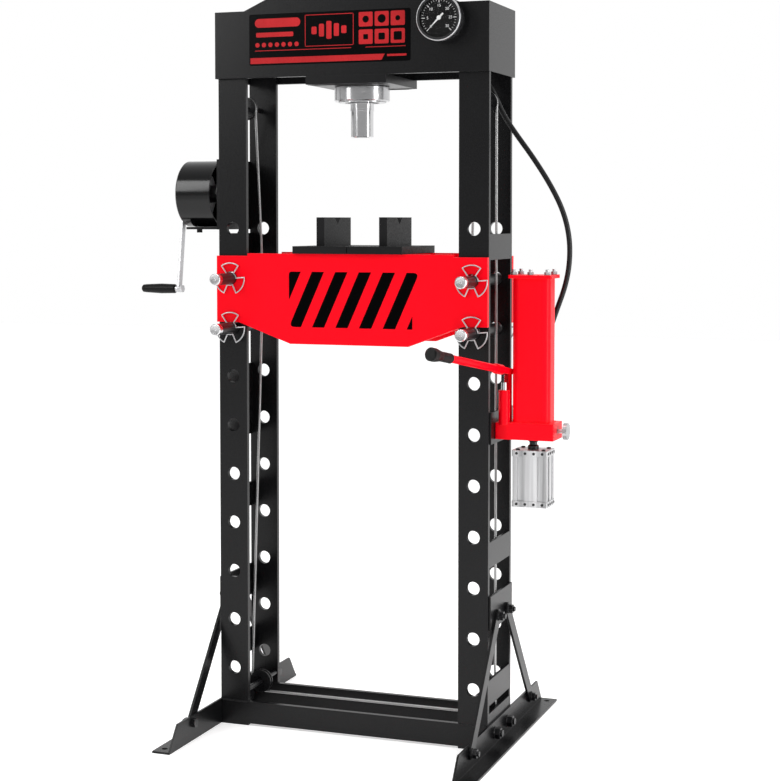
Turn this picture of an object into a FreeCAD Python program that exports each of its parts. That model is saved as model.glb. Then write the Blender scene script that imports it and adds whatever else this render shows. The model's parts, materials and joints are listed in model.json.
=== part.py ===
import FreeCAD, Part
import math
import os

import Sketcher

# Workshop press on a two-post frame, in millimetres, +Z up, front towards -Y.
# The floor is Z = 0.  All places below are written from the press's own centre line (the ram's
# axis); every placement then adds the shift that puts the origin under the middle of the box.

SIZES = {
    # posts: flat bars in pairs, drilled for the pins
    "post_spacing": 614, "plate_width": 73, "plate_thick": 12, "plate_gap": 168,
    "hole_pitch": 120, "hole_dia": 32, "hole_count": 10, "lowest_hole": 142,
    "batten_height": 60, "batten_thick": 6, "pump_batten_height": 74, "brace_batten_height": 80,
    # base and feet
    "beam_height": 54, "beam_lift": 5, "foot_length": 750, "foot_width": 45, "foot_height": 60,
    "foot_thick": 5, "foot_slope": 45, "brace_width": 30, "brace_thick": 6, "brace_foot_y": 250,
    "brace_foot_z": 42, "brace_top_y": 40, "brace_top_z": 310,
    "anchor_dia": 14, "anchor_inset": 25,
    "foot_bolt_dia": 16, "foot_bolt_y": 52, "foot_bolt_z": 33, "brace_bolt_dia": 12, "bolt_play": 0.5,
    # head
    "head_bottom": 1584, "head_height": 160, "head_overhang": 3, "head_plate": 12, "head_end_thick": 3,
    "apex_rise": 50, "apex_foot": 269, "apex_flat": 158, "post_in_head": 116,
    # cylinder and ram
    "ram_offset": -6, "mount_width": 204, "mount_depth": 220, "mount_thick": 20, "barrel_dia": 110, "barrel_height": 206,
    "neck_dia": 84, "neck_drop": 54, "chamber_dia": 80, "chamber_top": 15, "gland_length": 69,
    "ring_dia": 134, "ring_height": 39, "ram_dia": 58, "ram_stroke": 145, "piston_height": 25,
    "ram_show": 15, "nose_dia": 55, "nose_height": 69, "nose_lip": 58, "fit": 0.05,
    # bed and pins
    "bed_thick": 12, "bed_play": 1, "bed_top": 1162, "bed_half": 344, "bed_middle_drop": 217,
    "bed_lip_rise": 6, "bed_lip_half": 262,
    "bed_slope_out": 285, "bed_slope_in": 150, "pin_dia": 28, "pin_length": 334, "pin_front": 198,
    "seat_gap": 0.3,
    "clip_reach": 38, "clip_wire": 3.2, "clip_gap": 3,
    "spacer_x": 256, "spacer_thick": 12, "spacer_height": 70, "spacer_drop": 36, "stay_drop": 171, "anchor_x": 271,
    "arbor_width": 138, "arbor_depth": 240, "arbor_thick": 18, "arbor_split": 2,
    "vee_x": 80, "vee_thick": 20, "vee_length": 175, "vee_height": 69, "vee_mouth": 38, "vee_deep": 17,
    # lifting rope, pulleys and winch
    "rope_dia": 6, "pulley_rope_r": 25, "pulley_width": 14, "pulley_axle": 12, "pulley_top_z": 1518,
    "pulley_low_z": 87, "pulley_left_x": 314, "pulley_left_low_x": 278, "pulley_right_x": 308,
    "drum_dia": 44, "drum_flange": 120, "winch_z": 1308, "drum_x": 400, "shaft_dia": 20,
    "cover_dia": 165, "cover_wall": 2, "cover_near": 389, "cover_far": 484, "winch_plate": 6,
    "crank_reach": 241, "crank_tilt": 8.3, "crank_width": 18, "crank_thick": 5, "crank_gap": 10,
    "grip_dia": 25, "grip_length": 94, "grip_gap": 7, "stud_dia": 10,
    # hand pump with air motor
    "pump_base_length": 140, "pump_base_depth": 85, "pump_base_height": 39, "pump_base_z": 731,
    "pump_y": -17.5, "tank_x": 430, "tank_width": 91, "tank_depth": 66, "tank_height": 337,
    "tank_round": 18, "cap_width": 104, "cap_depth": 86, "cap_thick": 8, "cap_nut": 13,
    "motor_width": 86, "motor_depth": 72, "motor_height": 133, "motor_cap": 14, "link_dia": 26,
    "plunger_dia": 14, "pump_barrel_dia": 26, "pump_barrel_height": 76, "plunger_depth": 14, "lever_pivot_x": 374, "lever_pivot_y": -31, "lever_pivot_z": 888,
    "lever_throw": 22, "lever_turn": 14.5, "lever_rise": 10.4, "lever_length": 344, "lever_dia": 18,
    "lever_grip_dia": 31, "lever_grip_length": 84, "knob_dia": 39, "knob_thick": 10, "knob_stem": 15,
    "stem_dia": 10,
    # gauge and hose
    "gauge_x": 237, "gauge_z": 1705, "gauge_dia": 100, "gauge_depth": 42, "gauge_wall": 2,
    "bezel_dia": 106, "bezel_depth": 10, "hose_dia": 12.5, "fitting_dia": 18,
}


class Size:
    """A number together with the spreadsheet expression that gives it."""

    def __init__(self, text, value):
        self.text = text
        self.value = float(value)

    def combine(self, other, sign, value):
        return Size("(%s %s %s)" % (self.text, sign, as_size(other).text), value)

    def __add__(self, other):
        return self.combine(other, "+", self.value + as_size(other).value)

    def __radd__(self, other):
        return as_size(other) + self

    def __sub__(self, other):
        return self.combine(other, "-", self.value - as_size(other).value)

    def __rsub__(self, other):
        return as_size(other) - self

    def __mul__(self, other):
        return self.combine(other, "*", self.value * as_size(other).value)

    def __rmul__(self, other):
        return as_size(other) * self

    def __truediv__(self, other):
        return self.combine(other, "/", self.value / as_size(other).value)

    def __neg__(self):
        return Size("(0 - %s)" % self.text, -self.value)

    def __float__(self):
        return self.value


def as_size(number):
    return number if isinstance(number, Size) else Size("(%r)" % float(number), number)


class Driving:
    """Gives each driving dimension as a Size under its spreadsheet alias."""

    def __getattr__(self, name):
        return Size("Sizes." + name, SIZES[name])


d = Driving()
doc = FreeCAD.newDocument("Press")


def fill_sheet():
    sheet = doc.addObject("Spreadsheet::Sheet", "Sizes")
    for row, (name, value) in enumerate(SIZES.items(), 1):
        sheet.set("A%d" % row, name)
        sheet.set("B%d" % row, str(value))
        sheet.setAlias("B%d" % row, name)
    doc.recompute()


fill_sheet()

# Derived places, all measured from the ram's axis ------------------------------------------------
FACE_IN = d.plate_gap / 2
FACE_OUT = FACE_IN + d.plate_thick
POST_X = d.post_spacing / 2
POST_OUT = POST_X + d.plate_width / 2
POST_IN = POST_X - d.plate_width / 2
BEAM_TOP = d.beam_lift + d.beam_height
FOOT_OUT = POST_OUT + d.foot_thick
HEAD_HALF = POST_OUT + d.head_overhang
HEAD_TOP = d.head_bottom + d.head_height
BED_FACE = FACE_OUT + d.bed_play
UPPER_HOLE = d.lowest_hole + d.hole_pitch * (d.hole_count - 2)
LOWER_HOLE = d.lowest_hole + d.hole_pitch * (d.hole_count - 3)
PIN_DROP = (d.hole_dia - d.pin_dia) / 2 - d.seat_gap
BED_END_BOTTOM = LOWER_HOLE - PIN_DROP + d.pin_dia / 2 + d.seat_gap
MOUNT_BOTTOM = d.head_bottom - d.mount_thick
RING_BOTTOM = MOUNT_BOTTOM - d.ring_height
RAM_BOTTOM = RING_BOTTOM - d.ram_show
BARREL_TOP = d.head_bottom + d.barrel_height
PISTON_TOP = BARREL_TOP - d.chamber_top - 5
WINCH_Y = d.drum_dia / 2 + d.rope_dia / 2 + d.seat_gap
COVER_R = d.cover_dia / 2
CRANK_X = d.cover_far + d.crank_gap
PUMP_OUT = FOOT_OUT + d.pump_base_length
PUMP_TOP = d.pump_base_z + d.pump_base_height
TANK_TOP = PUMP_TOP + d.tank_height
KNOB_END = PUMP_OUT + d.knob_stem + d.knob_thick
GRIP_START = CRANK_X + d.crank_thick + d.grip_gap
GRIP_END = GRIP_START + d.grip_length
# The origin stands under the middle of the whole box, which the crank and the release knob bound.
CENTRE_X = (GRIP_END - KNOB_END) / 2

X_AXIS = FreeCAD.Vector(1, 0, 0)
Y_AXIS = FreeCAD.Vector(0, 1, 0)
Z_AXIS = FreeCAD.Vector(0, 0, 1)
SIDES = (("left", -1), ("right", 1))
ENDS = (("front", -1), ("rear", 1))
PARTS = []


def vec(x, y, z):
    return FreeCAD.Vector(float(x), float(y), float(z))


def bind(obj, name, size):
    obj.setExpression(name, as_size(size).text)


def place(obj, x, y, z, axis=None, angle=0):
    """Puts an object at a place measured from the ram's axis, with its shift along X bound."""
    turn = FreeCAD.Rotation(axis, angle) if axis else FreeCAD.Rotation()
    obj.Placement = FreeCAD.Placement(vec(x, y, z), turn)
    bind(obj, "Placement.Base.x", CENTRE_X + x)
    bind(obj, "Placement.Base.y", y)
    bind(obj, "Placement.Base.z", z)


def sub_part(obj, name):
    obj.Label = name
    PARTS.append(obj)
    return obj


def feature(name, shape):
    """A sub-part whose shape is made with Part's own functions in press coordinates."""
    obj = doc.addObject("Part::Feature", "Shape_" + name)
    obj.Shape = shape
    place(obj, 0, 0, 0)
    return sub_part(obj, name)


# Sketches and plates -----------------------------------------------------------------------------
PLANES = {"XY": "XY_Plane", "XZ": "XZ_Plane", "YZ": "YZ_Plane"}


def new_sketch(body, plane):
    sketch = body.newObject("Sketcher::SketchObject", body.Name + "_sketch")
    origin = [f for f in body.Origin.OriginFeatures if f.Role == PLANES[plane]][0]
    sketch.AttachmentSupport = [(origin, "")]
    sketch.MapMode = "FlatFace"
    return sketch


def pin_point(sketch, geometry, point, u, v):
    for kind, size in (("DistanceX", u), ("DistanceY", v)):
        index = sketch.addConstraint(Sketcher.Constraint(kind, geometry, point, float(size)))
        sketch.setExpression("Constraints[%d]" % index, as_size(size).text)


def add_outline(sketch, points):
    first = sketch.GeometryCount
    count = len(points)
    for i in range(count):
        start = vec(points[i][0], points[i][1], 0)
        end = vec(points[(i + 1) % count][0], points[(i + 1) % count][1], 0)
        sketch.addGeometry(Part.LineSegment(start, end), False)
    for i in range(count):
        following = first + (i + 1) % count
        sketch.addConstraint(Sketcher.Constraint("Coincident", first + i, 2, following, 1))
    for i in range(count):
        pin_point(sketch, first + i, 1, points[i][0], points[i][1])


def add_hole(sketch, u, v, diameter):
    centre = vec(u, v, 0)
    index = sketch.addGeometry(Part.Circle(centre, Z_AXIS, float(diameter) / 2), False)
    radius = sketch.addConstraint(Sketcher.Constraint("Radius", index, float(diameter) / 2))
    sketch.setExpression("Constraints[%d]" % radius, (as_size(diameter) / 2).text)
    pin_point(sketch, index, 3, u, v)


def plate(name, plane, outline, thick, holes, x, y, z):
    """A flat plate padded from one sketch; holes are (u, v, diameter)."""
    body = doc.addObject("PartDesign::Body", "Body_" + name)
    sketch = new_sketch(body, plane)
    add_outline(sketch, outline)
    for u, v, diameter in holes:
        add_hole(sketch, u, v, diameter)
    pad = body.newObject("PartDesign::Pad", body.Name + "_pad")
    pad.Profile = sketch
    bind(pad, "Length", thick)
    sketch.Visibility = False
    place(body, x, y, z)
    return sub_part(body, name)


def rectangle(u_low, v_low, u_high, v_high):
    return [(u_low, v_low), (u_high, v_low), (u_high, v_high), (u_low, v_high)]


# Plain solids ------------------------------------------------------------------------------------
def block(x_low, y_low, z_low, x_high, y_high, z_high):
    low = vec(x_low, y_low, z_low)
    return Part.makeBox(float(x_high - x_low), float(y_high - y_low), float(z_high - z_low), low)


def rod(start, end, diameter):
    along = end - start
    return Part.makeCylinder(float(diameter) / 2, along.Length, start, along)


def hexagon(centre, direction, flats, height):
    """A hexagon prism, such as a nut, across the given flats."""
    radius = flats / math.sqrt(3)
    side = direction.cross(Z_AXIS if abs(direction.z) < 0.9 else X_AXIS)
    side.normalize()
    turn = FreeCAD.Rotation(direction, 60)
    corner = side * radius
    corners = []
    for _ in range(6):
        corners.append(centre + corner)
        corner = turn.multVec(corner)
    face = Part.Face(Part.makePolygon(corners + [corners[0]]))
    return face.extrude(direction * height)


def turned(axis_point, axis, radial, profile):
    """Turns (distance along the axis, radius) pairs about the axis."""
    points = [axis_point + axis * float(a) + radial * float(r) for a, r in profile]
    face = Part.Face(Part.makePolygon(points + [points[0]]))
    return face.revolve(axis_point, axis, 360)


def fused(shapes):
    result = shapes[0].multiFuse(shapes[1:])
    return result.removeSplitter()


def mirrored_x(shape):
    return shape.mirror(vec(0, 0, 0), X_AXIS)


def path_edges(points, radii):
    """Straight runs joined by tangent arcs; radii has one entry for each inner point."""
    edges = []
    here = points[0]
    for i in range(1, len(points) - 1):
        into = (points[i] - points[i - 1]).normalize()
        out = (points[i + 1] - points[i]).normalize()
        turn = into.getAngle(out)
        back = radii[i - 1] * math.tan(turn / 2)
        start = points[i] - into * back
        end = points[i] + out * back
        bisector = (out - into).normalize()
        centre = points[i] + bisector * (radii[i - 1] / math.cos(turn / 2))
        middle = centre - bisector * radii[i - 1]
        if (start - here).Length > 1e-4:
            edges.append(Part.LineSegment(here, start).toShape())
        edges.append(Part.Arc(start, middle, end).toShape())
        here = end
    edges.append(Part.LineSegment(here, points[-1]).toShape())
    return edges


def tube(points, radii, diameter, label):
    """A round solid along a path of runs and arcs; its volume is compared with section by length."""
    wire = Part.Wire(path_edges(points, radii))
    direction = points[1] - points[0]
    section = Part.Wire([Part.Circle(points[0], direction, diameter / 2).toShape()])
    solid = wire.makePipeShell([section], True, False)
    expected = math.pi * diameter ** 2 / 4 * wire.Length
    print("%s: length %.1f mm, volume ratio %.4f" % (label, wire.Length, solid.Volume / expected))
    return solid


# Posts and battens -------------------------------------------------------------------------------
def make_posts():
    height = d.head_bottom + d.post_in_head - BEAM_TOP
    for side, sign in SIDES:
        for end, toward in ENDS:
            holes = []
            for i in range(SIZES["hole_count"]):
                holes.append((0, d.lowest_hole - BEAM_TOP + d.hole_pitch * i, d.hole_dia))
            outline = rectangle(-d.plate_width / 2, 0, d.plate_width / 2, height)
            y = FACE_OUT if toward > 0 else -FACE_IN
            plate("post_%s_%s" % (side, end), "XZ", outline, d.plate_thick, holes, POST_X * sign, y, BEAM_TOP)


def batten_between(sign, low, height):
    """A batten welded between the two plates of a post, flush with their outer edges."""
    inner = POST_OUT - d.batten_thick
    shape = block(inner, -FACE_IN, low, POST_OUT, FACE_IN, low + height)
    return shape if sign > 0 else mirrored_x(shape)


def batten_over(sign, low, height):
    """A batten welded over the outer edges of a post's two plates."""
    edge = (FACE_IN + FACE_OUT) / 2
    shape = block(POST_OUT, -edge, low, FOOT_OUT, edge, low + height)
    return shape if sign > 0 else mirrored_x(shape)


def make_battens():
    tie_height = d.foot_height + 20
    above_hole = (d.hole_pitch - d.batten_height) / 2
    brace_low = d.lowest_hole + d.hole_pitch + d.hole_dia / 2 + 6
    shapes = []
    for side, sign in SIDES:
        tie = batten_between(sign, d.beam_lift, tie_height)
        bolt_holes = [rod(vec(sign * 300, sign_y * d.foot_bolt_y, d.foot_bolt_z),
                          vec(sign * 400, sign_y * d.foot_bolt_y, d.foot_bolt_z),
                          d.foot_bolt_dia + d.bolt_play) for sign_y in (-1, 1)]
        shapes.append(tie.cut(bolt_holes))
        brace = batten_over(sign, brace_low, d.brace_batten_height)
        brace_holes = [rod(vec(sign * 300, sign_y * d.brace_top_y, d.brace_top_z),
                           vec(sign * 400, sign_y * d.brace_top_y, d.brace_top_z),
                           d.brace_bolt_dia + d.bolt_play) for sign_y in (-1, 1)]
        shapes.append(brace.cut(brace_holes))
        top_low = d.lowest_hole + d.hole_pitch * 8 + above_hole + 18
        shapes.append(batten_between(sign, top_low, d.batten_height))
    shapes.append(batten_over(1, d.pump_base_z - 10, d.pump_batten_height))
    shapes.append(batten_between(1, d.lowest_hole - 38, d.batten_height))
    shapes.append(batten_between(1, d.lowest_hole + d.hole_pitch * 2 + 48, d.batten_height))
    shapes.append(batten_between(-1, d.lowest_hole, d.batten_height))
    shapes.append(batten_between(-1, d.lowest_hole + d.hole_pitch * 3 + 14, d.batten_height))
    shapes.append(batten_between(-1, d.lowest_hole + d.hole_pitch * 5 - 42, d.batten_height * 3))
    feature("battens", Part.makeCompound(shapes))


# Base, feet, braces and their bolts --------------------------------------------------------------
def make_beams():
    outline = [(-POST_OUT, 0), (-POST_IN, 0), (-POST_IN, d.beam_lift), (POST_IN, d.beam_lift),
               (POST_IN, 0), (POST_OUT, 0), (POST_OUT, BEAM_TOP), (-POST_OUT, BEAM_TOP)]
    plate("base_beam_front", "XZ", outline, d.plate_thick, [], 0, -FACE_IN, 0)
    plate("base_beam_rear", "XZ", outline, d.plate_thick, [], 0, FACE_OUT, 0)


def foot_shape():
    half = float(d.foot_length / 2)
    top = float(d.foot_height)
    slope = float(d.foot_slope)
    x = float(POST_OUT)
    thick = float(d.foot_thick)
    corners = [vec(x, -half, 0), vec(x, half, 0), vec(x, half - slope, top), vec(x, slope - half, top)]
    upright = Part.Face(Part.makePolygon(corners + [corners[0]])).extrude(X_AXIS * thick)
    flat = block(x, -half, 0, x + d.foot_width, half, thick)
    foot = fused([upright, flat])
    cuts = []
    for sign_y in (-1, 1):
        for y, z, dia in ((d.foot_bolt_y, d.foot_bolt_z, d.foot_bolt_dia),
                          (d.brace_foot_y, d.brace_foot_z, d.brace_bolt_dia)):
            cuts.append(rod(vec(x - 5, sign_y * y, z), vec(x + 15, sign_y * y, z), dia + d.bolt_play))
        centre_x = x + float(d.foot_thick + d.foot_width) / 2
        centre_y = sign_y * (half - float(d.anchor_inset))
        cuts.append(rod(vec(centre_x, centre_y, -1), vec(centre_x, centre_y, thick + 1), d.anchor_dia))
    return foot.cut(cuts)


def brace_shape(sign_y):
    """A flat bar with round ends, drilled for a bolt at each end."""
    x = float(FOOT_OUT)
    low = vec(x, sign_y * d.brace_foot_y, d.brace_foot_z)
    high = vec(x, sign_y * d.brace_top_y, d.brace_top_z)
    along = (high - low).normalize()
    side = along.cross(X_AXIS) * float(d.brace_width / 2)
    face = Part.Face(Part.makePolygon([low + side, high + side, high - side, low - side, low + side]))
    thick = X_AXIS * float(d.brace_thick)
    bar = fused([face.extrude(thick), rod(low, low + thick, d.brace_width), rod(high, high + thick, d.brace_width)])
    reach = X_AXIS * 20
    holes = [rod(p - reach, p + reach, d.brace_bolt_dia + d.bolt_play) for p in (low, high)]
    return bar.cut(holes)


def bolt_set(x_head, x_nut, y, z, dia, flats, washer=2):
    """Bolt head, shank, washer and nut along +X, tightened up as one solid."""
    head_height = 0.65 * float(dia)
    nut_height = 0.8 * float(dia)
    head = hexagon(vec(x_head - head_height, y, z), X_AXIS, flats, head_height)
    shank = rod(vec(x_head - 1, y, z), vec(x_nut + washer + nut_height + 5, y, z), dia)
    ring = rod(vec(x_nut, y, z), vec(x_nut + washer, y, z), flats * 1.25)
    nut = hexagon(vec(x_nut + washer, y, z), X_AXIS, flats, nut_height)
    return fused([head, shank, ring, nut])


def make_feet():
    foot = foot_shape()
    feature("foot_right", foot)
    feature("foot_left", mirrored_x(foot))
    braces = [brace_shape(-1), brace_shape(1)]
    feature("braces", Part.makeCompound(braces + [mirrored_x(b) for b in braces]))
    bolts = []
    outer = float(FOOT_OUT)
    tie_inner = float(POST_OUT - d.batten_thick)
    for sign_y in (-1, 1):
        bolts.append(bolt_set(tie_inner, outer, sign_y * d.foot_bolt_y, d.foot_bolt_z, d.foot_bolt_dia, 24))
        brace_outer = outer + float(d.brace_thick)
        for y, z in ((d.brace_foot_y, d.brace_foot_z), (d.brace_top_y, d.brace_top_z)):
            bolts.append(bolt_set(float(POST_OUT), brace_outer, sign_y * y, z, d.brace_bolt_dia, 19))
    feature("frame_bolts", Part.makeCompound(bolts + [mirrored_x(b) for b in bolts]))


# Head --------------------------------------------------------------------------------------------
def make_head():
    outline = [(-HEAD_HALF, 0), (HEAD_HALF, 0), (HEAD_HALF, d.head_height), (d.apex_foot, d.head_height),
               (d.apex_flat, d.head_height + d.apex_rise), (-d.apex_flat, d.head_height + d.apex_rise),
               (-d.apex_foot, d.head_height), (-HEAD_HALF, d.head_height)]
    plate("head_front", "XZ", outline, d.head_plate, [], 0, -FACE_OUT, d.head_bottom)
    plate("head_rear", "XZ", outline, d.head_plate, [], 0, FACE_OUT + d.head_plate, d.head_bottom)
    end = block(HEAD_HALF - d.head_end_thick, -FACE_OUT, d.head_bottom, HEAD_HALF, FACE_OUT, HEAD_TOP)
    feature("head_ends", Part.makeCompound([end, mirrored_x(end)]))


# Cylinder and ram --------------------------------------------------------------------------------
def make_cylinder():
    outline = rectangle(-d.mount_width / 2, -d.mount_depth / 2, d.mount_width / 2, d.mount_depth / 2)
    holes = [(0, 0, d.neck_dia + 2 * d.fit)]
    plate("cylinder_plate", "XY", outline, d.mount_thick, holes, d.ram_offset, 0, MOUNT_BOTTOM)
    neck_low = d.head_bottom - d.neck_drop
    neck_r = d.neck_dia / 2
    barrel_r = d.barrel_dia / 2
    bore_r = d.ram_dia / 2 + d.fit
    chamber_low = neck_low + d.gland_length
    chamber_high = BARREL_TOP - d.chamber_top
    chamber_r = d.chamber_dia / 2
    centre = vec(d.ram_offset, 0, 0)
    profile = [(neck_low, bore_r), (neck_low, neck_r), (d.head_bottom, neck_r), (d.head_bottom, barrel_r),
               (BARREL_TOP, barrel_r), (BARREL_TOP, 0), (chamber_high, 0), (chamber_high, chamber_r),
               (chamber_low, chamber_r), (chamber_low, bore_r)]
    feature("cylinder_barrel", turned(centre, Z_AXIS, X_AXIS, profile))
    ring_r = d.ring_dia / 2
    ring_bore = neck_r + d.fit
    lip_r = ring_r - 9
    ring = turned(centre, Z_AXIS, X_AXIS, [
        (RING_BOTTOM, ring_bore), (RING_BOTTOM, lip_r), (RING_BOTTOM + 3, lip_r), (RING_BOTTOM + 3, ring_r - 2),
        (RING_BOTTOM + 5, ring_r), (MOUNT_BOTTOM - 2, ring_r), (MOUNT_BOTTOM, ring_r - 2), (MOUNT_BOTTOM, ring_bore)])
    screw_turn = math.radians(-66)
    outward = vec(math.cos(screw_turn), math.sin(screw_turn), 0)
    screw_place = vec(d.ram_offset, 0, RING_BOTTOM + 20) + outward * float(ring_r)
    ring = ring.cut(rod(screw_place - outward * 6, screw_place + outward * 2, 8))
    feature("ring_nut", ring)
    rod_r = d.ram_dia / 2
    piston_r = chamber_r - d.fit
    piston_low = PISTON_TOP - d.piston_height
    feature("ram", turned(centre, Z_AXIS, X_AXIS, [
        (RAM_BOTTOM, 0), (RAM_BOTTOM, rod_r), (piston_low, rod_r), (piston_low, piston_r),
        (PISTON_TOP, piston_r), (PISTON_TOP, 0)]))
    nose_r = d.nose_dia / 2
    lip = d.nose_lip / 2
    nose_low = RAM_BOTTOM - d.nose_height
    feature("ram_nose", turned(centre, Z_AXIS, X_AXIS, [
        (nose_low, 0), (nose_low, nose_r - 2), (nose_low + 2, nose_r), (RAM_BOTTOM - 5, nose_r),
        (RAM_BOTTOM - 5, lip), (RAM_BOTTOM, lip), (RAM_BOTTOM, 0)]))


# Bed ---------------------------------------------------------------------------------------------
def make_bed_plate(name, y):
    """A pressing plate whose top edge stands a little proud between the posts."""
    middle = d.bed_top - d.bed_middle_drop
    end_top = d.bed_top - d.bed_lip_rise
    outline = [(-d.bed_half, BED_END_BOTTOM), (-d.bed_slope_out, BED_END_BOTTOM), (-d.bed_slope_in, middle),
               (d.bed_slope_in, middle), (d.bed_slope_out, BED_END_BOTTOM), (d.bed_half, BED_END_BOTTOM),
               (d.bed_half, end_top), (d.bed_lip_half, end_top), (d.bed_lip_half, d.bed_top),
               (-d.bed_lip_half, d.bed_top), (-d.bed_lip_half, end_top), (-d.bed_half, end_top)]
    holes = [(sign * POST_X, UPPER_HOLE, d.hole_dia) for _, sign in SIDES]
    plate(name, "XZ", outline, d.bed_thick, holes, 0, y, 0)


def make_bed():
    make_bed_plate("bed_front", -BED_FACE)
    make_bed_plate("bed_rear", BED_FACE + d.bed_thick)
    spacers = []
    top = d.bed_top - d.spacer_drop
    low = top - d.spacer_height
    for _, sign in SIDES:
        inner = d.spacer_x - d.spacer_thick / 2
        outer = d.spacer_x + d.spacer_thick / 2
        web = block(inner, -BED_FACE, low, outer, BED_FACE, top)
        anchor = block(outer, -15, low + 15, d.anchor_x + 8, 15, top - 15)
        spacer = fused([web, anchor])
        spacers.append(spacer if sign > 0 else mirrored_x(spacer))
    for sign in (-1, 1):
        stay_z = d.bed_top - d.stay_drop
        spacers.append(rod(vec(sign * 200, -BED_FACE, stay_z), vec(sign * 200, BED_FACE, stay_z), 24))
    feature("bed_spacers", Part.makeCompound(spacers))


def make_arbor_blocks():
    """Each block is a base plate with an upright welded on it, notched with a vee."""
    base_top = d.bed_top + d.arbor_thick
    top = base_top + d.vee_height
    inner = d.arbor_split / 2
    for side, sign in SIDES:
        base = block(inner, -d.arbor_depth / 2, d.bed_top, inner + d.arbor_width, d.arbor_depth / 2, base_top)
        x = d.vee_x - d.vee_thick / 2
        upright = block(x, -d.vee_length / 2, base_top, x + d.vee_thick, d.vee_length / 2, top)
        mouth = [vec(x - 1, -d.vee_mouth / 2, top + 0.01), vec(x - 1, d.vee_mouth / 2, top + 0.01),
                 vec(x - 1, 0, top - d.vee_deep)]
        notch = Part.Face(Part.makePolygon(mouth + [mouth[0]])).extrude(X_AXIS * float(d.vee_thick + 2))
        shape = fused([base, upright.cut(notch)])
        feature("vee_block_" + side, shape if sign > 0 else mirrored_x(shape))


# Pins and their wire clips -----------------------------------------------------------------------
def clip_shape(x, y, z):
    """A wire bent into three fan-shaped lobes round the pin."""
    wire_dia = float(d.clip_wire)
    inner = float(d.pin_dia) / 2 + wire_dia / 2 + 0.1
    outer = float(d.clip_reach)
    centre = vec(x, y, z)

    def at(radius, angle):
        turn = math.radians(angle)
        return centre + vec(radius * math.cos(turn), 0, radius * math.sin(turn))

    def bend(radius, angle, sweep):
        start = at(radius, angle)
        tangent = (start - centre).cross(Y_AXIS)
        section = Part.Face(Part.Wire([Part.Circle(start, tangent, wire_dia / 2).toShape()]))
        return section.revolve(centre, -Y_AXIS, sweep)

    pieces = []
    for lobe in (90, 210, 330):
        for angle in (lobe - 35, lobe + 35):
            pieces.append(rod(at(inner, angle), at(outer, angle), wire_dia))
            pieces.append(Part.makeSphere(wire_dia / 2, at(inner, angle)))
            pieces.append(Part.makeSphere(wire_dia / 2, at(outer, angle)))
        pieces.append(bend(outer, lobe - 35, 70))
        pieces.append(bend(inner, lobe + 35, 50))
    return fused(pieces)


def make_pins():
    """Each pin carries one clip as it is drawn out, and slides out of the one on the bed's far side.

    The left pins come out to the front and the right ones, which the pump lever stands before, to the rear.
    """
    clip_y = BED_FACE + d.bed_thick + d.clip_gap + d.clip_wire / 2
    pulled_to = {"left": -1, "right": 1}
    end_clips = []
    for side, sign in SIDES:
        for level, z in (("upper", UPPER_HOLE), ("lower", LOWER_HOLE)):
            x = sign * POST_X
            centre_z = z - PIN_DROP
            r = d.pin_dia / 2
            front = d.pin_front
            rear = d.pin_length - front
            shape = turned(vec(x, 0, centre_z), Y_AXIS, X_AXIS, [
                (-front, 0), (-front, r - 2), (2 - front, r), (rear - 4, r), (rear, r - 4), (rear, 0)])
            feature("pin_%s_%s" % (side, level), shape)
            feature("clip_%s_%s" % (side, level), clip_shape(x, clip_y * pulled_to[side], centre_z))
            end_clips.append(clip_shape(x, clip_y * -pulled_to[side], centre_z))
    feature("end_clips", Part.makeCompound(end_clips))


# Rope and pulleys --------------------------------------------------------------------------------
def pulley_places():
    return [("pulley_left_top", -d.pulley_left_x, d.pulley_top_z),
            ("pulley_left_low", -d.pulley_left_low_x, d.pulley_low_z),
            ("pulley_right_top", d.pulley_right_x, d.pulley_top_z),
            ("pulley_right_low", d.pulley_right_x, d.pulley_low_z)]


def make_pulleys():
    half = d.pulley_width / 2
    rim = d.pulley_rope_r + 3
    groove = d.pulley_rope_r - d.rope_dia / 2 - d.seat_gap
    side = d.rope_dia / 2 + 0.5
    bore = d.pulley_axle / 2 + d.fit
    axles = []
    for name, x, z in pulley_places():
        centre = vec(x, 0, z)
        feature(name, turned(centre, Y_AXIS, X_AXIS, [
            (-half, bore), (-half, rim), (-side, rim), (-side, groove), (side, groove), (side, rim),
            (half, rim), (half, bore)]))
        axles.append(rod(centre - Y_AXIS * float(FACE_IN), centre + Y_AXIS * float(FACE_IN), d.pulley_axle))
    feature("pulley_axles", Part.makeCompound(axles))


def tangent_corner(anchor, pulley, side, level):
    """Where the rope's line from an anchor, touching a pulley's left (-1) or right (1) side,
    meets the level run over or under that pulley."""
    r = float(SIZES["pulley_rope_r"])
    to_centre = pulley - anchor
    base = math.atan2(to_centre.z, to_centre.x)
    lean = math.asin(r / to_centre.Length)
    turn = base + lean * side * (1 if to_centre.z < 0 else -1)
    reach = (level - anchor.z) / math.sin(turn)
    return vec(anchor.x + reach * math.cos(turn), 0, level)


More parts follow.
